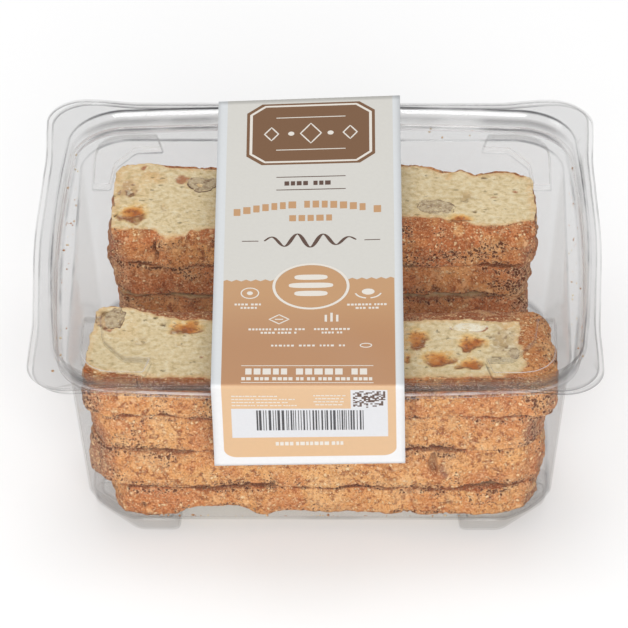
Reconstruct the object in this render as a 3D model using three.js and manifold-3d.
// A shut clear tub of long biscotti slices: a drafted tub with a bowed rim, a
// plug lid, a paper band label over the lid and down the front, and two stacks
// of four slices inside. Millimetres, +Z up, the front faces -Y.
import * as THREE from 'three';
import { mergeVertices } from 'three/addons/utils/BufferGeometryUtils.js';
import Module from 'manifold-3d';

const wasm = await Module();
wasm.setup();

// ---------------------------------------------------------------- sizes (mm)
// Heights are counted from the top face of the tub's flange.
const WALL = 0.5;            // formed sheet of the tub
const LID_T = 0.45;          // formed sheet of the lid
const GAP = 0.3;             // clearance between separate pieces

const FLANGE_A = 74.6;       // flange ears, half width
const FLANGE_B = 65.5;       // flange ears, half depth
const FLANGE_R = 10.5;       // ear radius
const FLANGE_BULGE = 0.75;   // flange bulge at the middle of each short side
const FLANGE_DIP = 0.5;      // flange dip beside each ear on the short sides
const FLANGE_WAIST = 1.7;    // flange waist between the ears, front and back
const FLANGE_T = 0.45;
const LID_TRIM = -1.3;       // the lid's flange is trimmed this far off centre

const RIM_A = 69.2;          // inside of the rim at its mouth, half width
const RIM_B = 60.0;          // inside of the rim at its mouth, half depth
const RIM_R = 16;            // rim corner radius
const RIM_BOW_X = 2.1;       // bow of the short sides
const RIM_BOW_Y = 1.8;       // bow of the long sides
const RIM_DRAFT = 1.1;       // rim narrows by this much down to the ledge
const LEDGE_Z = -5.9;        // top of the ledge under the rim

const BODY_A = 66.2;         // outside of the body under the ledge
const BODY_B = 55.8;
const BODY_R = 13;
const BASE_A = 61.6;         // outside of the body at the base
const BASE_B = 51.1;
const BASE_R = 12;
const BASE_Z = -55.3;        // underside of the floor
const EDGE = 1.3;            // rounding of the base edge

const FOOT_Z = -58.9;        // underside of the feet
const FOOT_X = [37.2, 60.3]; // one foot, from its inner to its outer side
const FOOT_Y = [30.0, 50.2];
const FOOT_CHAMFER = 12;
const FOOT_DRAFT = 0.7;

const PANEL_Z = -4.6;        // top of the lid's recessed panel
const LUG_H = 1.9;           // stacking lugs stand this high on the panel
const LUG_DRAFT = 0.6;

const LABEL_T = 0.2;         // paper
const LABEL_Z = 1.25;        // top face of the band over the lid
const LABEL_BACK = [[-28.8, 63.6], [21.3, 66.7]];   // back edge, left and right
const LABEL_BEND = [[-27.7, -64.75], [22.5, -64.75]]; // where it turns down
const LABEL_END = [[-27.6, -34.3], [22.8, -33.2]];  // x and height of the lower edge
const LABEL_LEAN = 21;       // degrees from upright just under the bend
const LABEL_LOW = 9;         // degrees from upright at the lower edge

const CORNER_SEGS = 6;
const SIDE_SEGS = 10;

// -------------------------------------------------------------- ring outlines
const smooth = (t) => { const u = Math.min(1, Math.max(0, t)); return u * u * (3 - 2 * u); };

// A closed outline of half sizes a by b, with corner radius r. cut blends each
// corner arc towards a straight chamfer. offX and offY push the sides outwards.
function ring({ a, b, r, cut = 0, offX = () => 0, offY = () => 0, dx = 0 }, z) {
  const pts = [];
  const quads = [[1, 1, 0], [-1, 1, 1], [-1, -1, 2], [1, -1, 3]];
  const corner = (q) => {
    const [sx, sy, k] = quads[q];
    const cx = sx * (a - r), cy = sy * (b - r), out = [];
    const at = (t) => [cx + r * Math.cos(t), cy + r * Math.sin(t)];
    const t0 = k * Math.PI / 2, p0 = at(t0), p1 = at(t0 + Math.PI / 2);
    for (let i = 0; i <= CORNER_SEGS; i++) {
      const s = i / CORNER_SEGS, p = at(t0 + s * Math.PI / 2);
      const l = [p0[0] + (p1[0] - p0[0]) * s, p0[1] + (p1[1] - p0[1]) * s];
      out.push([p[0] + (l[0] - p[0]) * cut, p[1] + (l[1] - p[1]) * cut]);
    }
    return out;
  };
  const corners = [0, 1, 2, 3].map(corner);
  for (let q = 0; q < 4; q++) {
    for (const p of corners[q]) pts.push(new THREE.Vector3(p[0] + dx, p[1], z));
    const p0 = corners[q][CORNER_SEGS], p1 = corners[(q + 1) % 4][0];
    for (let i = 1; i < SIDE_SEGS; i++) {
      const s = i / SIDE_SEGS;
      let x = p0[0] + (p1[0] - p0[0]) * s, y = p0[1] + (p1[1] - p0[1]) * s;
      if (q % 2 === 0) y += Math.sign(y) * offY(x, a - r);
      else x += Math.sign(x) * offX(y, b - r);
      pts.push(new THREE.Vector3(x + dx, y, z));
    }
  }
  return pts;
}

const flangeX = (y) => FLANGE_BULGE * Math.max(0, 1 - (y / 27) ** 2) ** 2
  - FLANGE_DIP * Math.exp(-(((Math.abs(y) - 38) / 9) ** 2));
const flangeY = (x, end) => -FLANGE_WAIST * smooth((end - Math.abs(x)) / 15);
const flange = (z, dx = 0, inset = 0) => ring({
  a: FLANGE_A - inset, b: FLANGE_B - inset, r: FLANGE_R - inset, offX: flangeX, offY: flangeY, dx,
}, z);

// the bowed rim, moved outwards by o
const rim = (z, o = 0) => ring({
  a: RIM_A + o, b: RIM_B + o, r: RIM_R + o,
  offX: (y, end) => RIM_BOW_X * (1 - (y / end) ** 2),
  offY: (x, end) => RIM_BOW_Y * (1 - (x / end) ** 2),
}, z);

// the drafted body at height z, moved outwards by o
function body(z, o = 0) {
  const top = LEDGE_Z - WALL, t = (z - top) / (BASE_Z - top);
  const mix = (p, q) => p + (q - p) * t;
  return ring({
    a: mix(BODY_A, BASE_A) + o, b: mix(BODY_B, BASE_B) + o,
    r: mix(BODY_R, BASE_R) + o, cut: mix(0.15, 0.6),
  }, z);
}

// ----------------------------------------------------------- building solids
// Skins a list of rings with equal counts; a ring of one point closes an end.
function loft(rings) {
  const pos = [], idx = [], start = [];
  for (const r of rings) {
    start.push(pos.length / 3);
    for (const p of r) pos.push(p.x, p.y, p.z);
  }
  for (let i = 0; i + 1 < rings.length; i++) {
    const n0 = rings[i].length, n1 = rings[i + 1].length, n = Math.max(n0, n1);
    for (let k = 0; k < n; k++) {
      const k2 = (k + 1) % n;
      const a = start[i] + (n0 > 1 ? k : 0), b = start[i] + (n0 > 1 ? k2 : 0);
      const c = start[i + 1] + (n1 > 1 ? k : 0), d = start[i + 1] + (n1 > 1 ? k2 : 0);
      if (n0 > 1) idx.push(a, b, d);
      if (n1 > 1) idx.push(a, d, c);
    }
  }
  const g = new THREE.BufferGeometry();
  g.setAttribute('position', new THREE.Float32BufferAttribute(pos, 3));
  g.setIndex(idx);
  return g;
}

function toSolid(geometry) {
  const g = geometry.clone();
  g.deleteAttribute('normal');
  g.deleteAttribute('uv');
  const m = mergeVertices(g, 1e-4);
  return new wasm.Manifold(new wasm.Mesh({
    numProp: 3,
    vertProperties: new Float32Array(m.attributes.position.array),
    triVerts: new Uint32Array(m.index.array),
  }));
}

function fromSolid(solid) {
  const mesh = solid.getMesh(), n = mesh.numProp, pos = [];
  for (let i = 0; i < mesh.vertProperties.length; i += n) {
    pos.push(mesh.vertProperties[i], mesh.vertProperties[i + 1], mesh.vertProperties[i + 2]);
  }
  const g = new THREE.BufferGeometry();
  g.setAttribute('position', new THREE.Float32BufferAttribute(pos, 3));
  g.setIndex(Array.from(mesh.triVerts));
  return g;
}

const centroid = (pts) => {
  const c = new THREE.Vector3();
  for (const p of pts) c.add(p);
  return c.multiplyScalar(1 / pts.length);
};

// A drafted block between two heights over a convex or star-shaped outline.
function block(outline, zLow, zHigh, growLow, growHigh) {
  const c = outline.reduce((s, p) => [s[0] + p[0] / outline.length, s[1] + p[1] / outline.length], [0, 0]);
  let area = 0;
  outline.forEach((p, i) => { const q = outline[(i + 1) % outline.length]; area += p[0] * q[1] - q[0] * p[1]; });
  const pts = area > 0 ? outline : [...outline].reverse();
  const offset = (g) => pts.map((p, i) => {
    const a = pts[(i + pts.length - 1) % pts.length], b = pts[(i + 1) % pts.length];
    const n1 = new THREE.Vector2(p[1] - a[1], a[0] - p[0]).normalize();
    const n2 = new THREE.Vector2(b[1] - p[1], p[0] - b[0]).normalize();
    const m = n1.clone().add(n2).normalize();
    const k = g / Math.max(0.5, m.dot(n1));
    return [p[0] + m.x * k, p[1] + m.y * k];
  });
  const at = (g, z) => offset(g).map((p) => new THREE.Vector3(p[0], p[1], z));
  const shape = (g) => THREE.ShapeUtils.triangulateShape(at(g, 0).map((p) => new THREE.Vector2(p.x, p.y)), []);
  const low = at(growLow, zLow), high = at(growHigh, zHigh), n = low.length;
  const pos = [], idx = [];
  for (const p of [...low, ...high]) pos.push(p.x, p.y, p.z);
  for (let i = 0; i < n; i++) {
    const j = (i + 1) % n;
    idx.push(i, j, n + j, i, n + j, n + i);
  }
  for (const [a, b, d] of shape(growLow)) idx.push(a, d, b);
  for (const [a, b, d] of shape(growHigh)) idx.push(n + a, n + b, n + d);
  const g = new THREE.BufferGeometry();
  g.setAttribute('position', new THREE.Float32BufferAttribute(pos, 3));
  g.setIndex(idx);
  return toSolid(g);
}

const mirror4 = (outline) => [[1, 1], [-1, 1], [-1, -1], [1, -1]]
  .map(([sx, sy]) => outline.map(([x, y]) => [sx * x, sy * y]));

// ------------------------------------------------------------------- the tub
const point = (z) => [new THREE.Vector3(0, 0, z)];
const tubShell = toSolid(loft([
  point(BASE_Z),
  body(BASE_Z, -EDGE),
  body(BASE_Z + 0.4 * EDGE, -0.4 * EDGE),
  body(BASE_Z + EDGE, 0),
  body(LEDGE_Z - WALL, 0),
  rim(LEDGE_Z - WALL, -RIM_DRAFT + WALL),
  rim(-FLANGE_T - 0.6, WALL - 0.1),
  rim(-FLANGE_T, WALL + 0.6),
  flange(-FLANGE_T),
  flange(0),
  rim(0, 0.6),
  rim(-0.6, 0),
  rim(LEDGE_Z, -RIM_DRAFT),
  body(LEDGE_Z, -WALL),
  body(BASE_Z + WALL + EDGE, -WALL),
  body(BASE_Z + WALL, -WALL - EDGE),
  point(BASE_Z + WALL),
]));

const footOutline = [
  [FOOT_X[0], FOOT_Y[0]], [FOOT_X[1], FOOT_Y[0]],
  [FOOT_X[1], FOOT_Y[1] - FOOT_CHAMFER], [FOOT_X[1] - FOOT_CHAMFER, FOOT_Y[1]],
  [FOOT_X[0], FOOT_Y[1]],
];
let tub = tubShell;
for (const o of mirror4(footOutline)) tub = tub.add(block(o, FOOT_Z, BASE_Z + 0.25, 0, FOOT_DRAFT));
for (const o of mirror4(footOutline)) {
  tub = tub.subtract(block(o, FOOT_Z + WALL, BASE_Z + WALL + 1, -WALL, FOOT_DRAFT - WALL));
}

// ------------------------------------------------------------------- the lid
const LOW = GAP, HIGH = GAP + LID_T;           // its flange, under and upper face
const plug = GAP + LID_T;
const lidShell = toSolid(loft([
  point(PANEL_Z - LID_T),
  rim(PANEL_Z - LID_T, -RIM_DRAFT * 0.8 - GAP - 1.0),
  rim(PANEL_Z - LID_T + 1.0, -RIM_DRAFT * 0.65 - GAP),
  rim(-0.6, -GAP),
  rim(LOW, 0.45),
  flange(LOW, LID_TRIM),
  flange(HIGH, LID_TRIM),
  rim(HIGH, 0.2),
  rim(-0.3, -plug),
  rim(PANEL_Z + 1.0, -RIM_DRAFT * 0.65 - plug),
  rim(PANEL_Z, -RIM_DRAFT * 0.8 - plug - 1.0),
  point(PANEL_Z),
]));
// A bent lug in each corner of the panel: it runs along the short side, round
// the corner and a little way along the long side.
const LUG_SIDE_X = 62.6, LUG_BACK_Y = 54.2, LUG_W = 5.2, LUG_TURN = 9;
const lugOutline = [];
lugOutline.push([LUG_SIDE_X, 29.8]);
for (let i = 0; i <= 4; i++) {
  const t = (i / 4) * Math.PI / 2;
  lugOutline.push([LUG_SIDE_X - LUG_TURN + LUG_TURN * Math.cos(t), LUG_BACK_Y - LUG_TURN + LUG_TURN * Math.sin(t)]);
}
lugOutline.push([45.4, LUG_BACK_Y]);
lugOutline.push([43.6, LUG_BACK_Y - LUG_W - 1.6]);
lugOutline.push([51.0, LUG_BACK_Y - LUG_W - 2.0]);
lugOutline.push([LUG_SIDE_X - LUG_W - 0.6, 39.6]);
lugOutline.push([LUG_SIDE_X - LUG_W, 29.8]);
let lid = lidShell;
for (const o of mirror4(lugOutline)) lid = lid.add(block(o, PANEL_Z - 0.2, PANEL_Z + LUG_H, 0, -LUG_DRAFT));
for (const o of mirror4(lugOutline)) {
  lid = lid.subtract(block(o, PANEL_Z - LID_T - 1, PANEL_Z + LUG_H - LID_T, -LID_T, -LUG_DRAFT - LID_T));
}

// ----------------------------------------------------------------- the label
// Down the front the band leans inwards from the flange to the body wall.
const rad = Math.PI / 180;
const frontCurve = (side) => {
  const y0 = LABEL_BEND[side][1], z0 = LABEL_Z - 0.9;
  const z1 = LABEL_END[side][1];
  const t = (z1 - (LEDGE_Z - WALL)) / (BASE_Z - (LEDGE_Z - WALL));
  const y1 = -(BODY_B + (BASE_B - BODY_B) * t) - GAP - LABEL_T;
  const reach = 12;
  return new THREE.CubicBezierCurve(
    new THREE.Vector2(y0, z0),
    new THREE.Vector2(y0 + reach * Math.sin(LABEL_LEAN * rad), z0 - reach * Math.cos(LABEL_LEAN * rad)),
    new THREE.Vector2(y1 - reach * Math.sin(LABEL_LOW * rad), z1 + reach * Math.cos(LABEL_LOW * rad)),
    new THREE.Vector2(y1, z1),
  );
};
function labelLine(side) {
  const pts = [], xb = LABEL_BACK[side][0], yb = LABEL_BACK[side][1];
  const xf = LABEL_BEND[side][0], yf = LABEL_BEND[side][1], r = 0.9;
  for (let i = 0; i <= 6; i++) {
    const s = i / 6;
    pts.push([xb + (xf - xb) * s, yb + (yf + r - yb) * s, LABEL_Z]);
  }
  for (let i = 1; i < 4; i++) {
    const t = (i / 4) * Math.PI / 2;
    pts.push([xf, yf + r - r * Math.sin(t), LABEL_Z - r + r * Math.cos(t)]);
  }
  const c = frontCurve(side), n = 12;
  for (let i = 0; i <= n; i++) {
    const p = c.getPoint(i / n), s = i / n;
    pts.push([xf + (LABEL_END[side][0] - xf) * s, p.x, p.y]);
  }
  return pts;
}
function labelSolid() {
  const left = labelLine(0), right = labelLine(1), rings = [];
  const inner = (line, i) => {
    const a = line[Math.max(0, i - 1)], b = line[Math.min(line.length - 1, i + 1)];
    const ty = b[1] - a[1], tz = b[2] - a[2], l = Math.hypot(ty, tz);
    // the inner face lies LABEL_T behind the outer face
    return [line[i][0], line[i][1] - (tz / l) * LABEL_T, line[i][2] + (ty / l) * LABEL_T];
  };
  const v = (p) => new THREE.Vector3(p[0], p[1], p[2]);
  for (let i = 0; i < left.length; i++) {
    rings.push([v(left[i]), v(right[i]), v(inner(right, i)), v(inner(left, i))]);
  }
  const g = loft([[centroid(rings[0])], ...rings, [centroid(rings[rings.length - 1])]]);
  return g;
}

// ---------------------------------------------------------------- the slices
// Each slice is a long bar with flat cut faces above and below, crust all
// round, wavy sides and rounded ends: x from end to end, y from front to back,
// outer and inner are the corner radii towards the tub's wall and its middle.
const SLICES = [
  { name: 'slice_front_1', x: [-55.2, 57.4], y: [-48.3, -14.6], z: [-54.5, -45.3], outer: 10, inner: 6, seed: 1, skew: 1.2 },
  { name: 'slice_front_2', x: [-60.0, 59.6], y: [-49.0, -14.0], z: [-45.0, -32.5], outer: 12, inner: 6, seed: 2, skew: -0.8 },
  { name: 'slice_front_3', x: [-60.4, 59.8], y: [-49.8, -14.8], z: [-32.2, -21.0], outer: 10, inner: 5, seed: 3, skew: 0.6 },
  { name: 'slice_front_4', x: [-62.4, 60.4], y: [-50.4, -13.6], z: [-20.7, -10.2], outer: 8, inner: 5, seed: 4, skew: -1.6 },
  { name: 'slice_back_1', x: [-55.8, 55.2], y: [15.8, 47.6], z: [-54.5, -42.6], outer: 9, inner: 6, seed: 5, skew: 0.9 },
  { name: 'slice_back_2', x: [-54.4, 56.4], y: [17.2, 49.0], z: [-42.3, -30.5], outer: 8, inner: 5, seed: 6, skew: -0.7 },
  { name: 'slice_back_3', x: [-57.6, 55.8], y: [16.6, 50.2], z: [-30.2, -20.5], outer: 7, inner: 5, seed: 7, skew: 1.0 },
  { name: 'slice_back_4', x: [-58.6, 58.6], y: [16.4, 50.2], z: [-20.2, -10.2], outer: 6, inner: 5, seed: 8, skew: -1.1 },
];
// wobble of a long edge, about 1 mm each way, the same for the same seed
const wobble = (x, seed, side) => 0.55 * Math.sin(x * 0.085 + seed * 1.7 + side * 2.1)
  + 0.35 * Math.sin(x * 0.19 + seed * 2.9 + side * 0.7)
  + 0.2 * Math.sin(x * 0.41 + seed * 4.3 + side * 3.3);

function slice({ x, y, z, outer, inner, seed, skew }) {
  const STATIONS = 15, rings = [];
  const isFront = y[0] < 0;
  const rounding = (d, r) => (d < r ? r - Math.sqrt(Math.max(0, r ** 2 - (r - d) ** 2)) : 0);
  const len = x[1] - x[0], yc = (y[0] + y[1]) / 2, hw = (y[1] - y[0]) / 2;
  const h = z[1] - z[0], zc = (z[0] + z[1]) / 2;
  for (let i = 0; i <= STATIONS; i++) {
    // stations crowd towards the rounded ends
    const s = 0.5 - 0.5 * Math.cos((i / STATIONS) * Math.PI);
    const d = Math.min(s, 1 - s) * len;
    const px = x[0] + s * len;
    const front = yc - hw + rounding(d, isFront ? outer : inner) + 0.8 * wobble(px, seed, 0);
    const back = yc + hw - rounding(d, isFront ? inner : outer) + 0.8 * wobble(px, seed, 1);
    const end = d < 0.5 ? 0.8 : 1;
    const ring_ = [];
    // flat cut faces, and sides that swell by 0.7 mm at half height
    const side = [[0.35, 0.5], [0.0, 0.3], [-0.35, 0], [0.0, -0.3], [0.35, -0.5]];
    const place = (yy, zz) => {
      const f = (yy - yc) / hw;
      ring_.push(new THREE.Vector3(px + f * skew * (2 * s - 1), yy, zc + zz * h * end));
    };
    place(yc + (back - front) / 6, 0.5); place(yc - (back - front) / 6, 0.5);
    for (const [o, zz] of side) place(front + 0.9 * o, zz);
    place(yc - (back - front) / 6, -0.5); place(yc + (back - front) / 6, -0.5);
    for (const [o, zz] of [...side].reverse()) place(back - 0.9 * o, zz);
    rings.push(ring_);
  }
  return loft([[centroid(rings[0])], ...rings, [centroid(rings[rings.length - 1])]]);
}

// ------------------------------------------------------------------ assembly
const clear = (color) => new THREE.MeshStandardMaterial({
  color, roughness: 0.08, metalness: 0, transparent: true, opacity: 0.3,
});
const model = new THREE.Group();
function place(name, geometry, material) {
  const g = geometry.clone();
  if (!g.attributes.normal) g.computeVertexNormals();
  const mesh = new THREE.Mesh(g, material);
  mesh.name = name;
  model.add(mesh);
}
// turns a geometry's faces outwards if they point in
function outward(g) {
  const p = g.attributes.position, ix = g.index.array;
  const a = new THREE.Vector3(), b = new THREE.Vector3(), c = new THREE.Vector3();
  let vol = 0;
  for (let i = 0; i < ix.length; i += 3) {
    a.fromBufferAttribute(p, ix[i]); b.fromBufferAttribute(p, ix[i + 1]); c.fromBufferAttribute(p, ix[i + 2]);
    vol += a.dot(b.cross(c));
  }
  if (vol < 0) g.setIndex(Array.from(ix).reverse());
  return g;
}

place('tub', fromSolid(tub), clear(0xdfe3e4));
place('lid', fromSolid(lid), clear(0xe4e8e9));
place('label', outward(labelSolid()), new THREE.MeshStandardMaterial({ color: 0xd9b48c, roughness: 0.6, metalness: 0 }));
for (const s of SLICES) {
  const tint = new THREE.Color(0xbd8350).offsetHSL(0, 0, (s.seed % 3 - 1) * 0.02);
  place(s.name, outward(slice(s)), new THREE.MeshStandardMaterial({ color: tint, roughness: 0.9, metalness: 0 }));
}

// The origin is the middle of the footprint, on the surface the feet stand on.
const bounds = new THREE.Box3().setFromObject(model);
model.position.set(-(bounds.min.x + bounds.max.x) / 2, -(bounds.min.y + bounds.max.y) / 2, -bounds.min.z);
model.updateMatrixWorld(true);

export default model;
